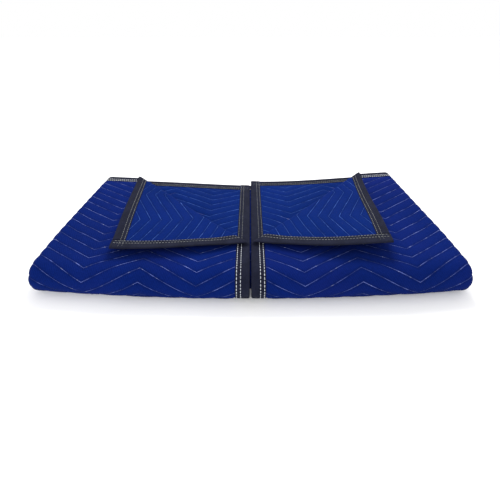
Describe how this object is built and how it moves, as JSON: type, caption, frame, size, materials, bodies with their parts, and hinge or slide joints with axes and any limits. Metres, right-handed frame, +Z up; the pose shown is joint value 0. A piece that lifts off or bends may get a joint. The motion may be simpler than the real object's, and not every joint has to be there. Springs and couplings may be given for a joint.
{
  "type": "folded moving blanket",
  "caption": "Quilted padded moving blanket folded into a flat pack, soft folds at the front and ends, bound edges meeting at a middle seam, top corners turned back.",
  "frame": {"origin": "middle of the pack's footprint, on the surface it lies on", "axes": "+X along the pack's long side, +Y from the folded front to the bound back, +Z up"},
  "size_m": [1.0058, 0.5166, 0.1224],
  "materials": {
    "quilted_cloth": "matt woven cloth, royal blue, with pale zigzag stitching",
    "binding": "charcoal woven tape with two rows of pale stitches"
  },
  "bodies": {
    "root": {"quilted_cloth": "quilted_cloth", "binding_side_left": "binding", "binding_side_right": "binding", "binding_end_top": "binding", "binding_end_under": "binding"}
  },
  "joints": []
}
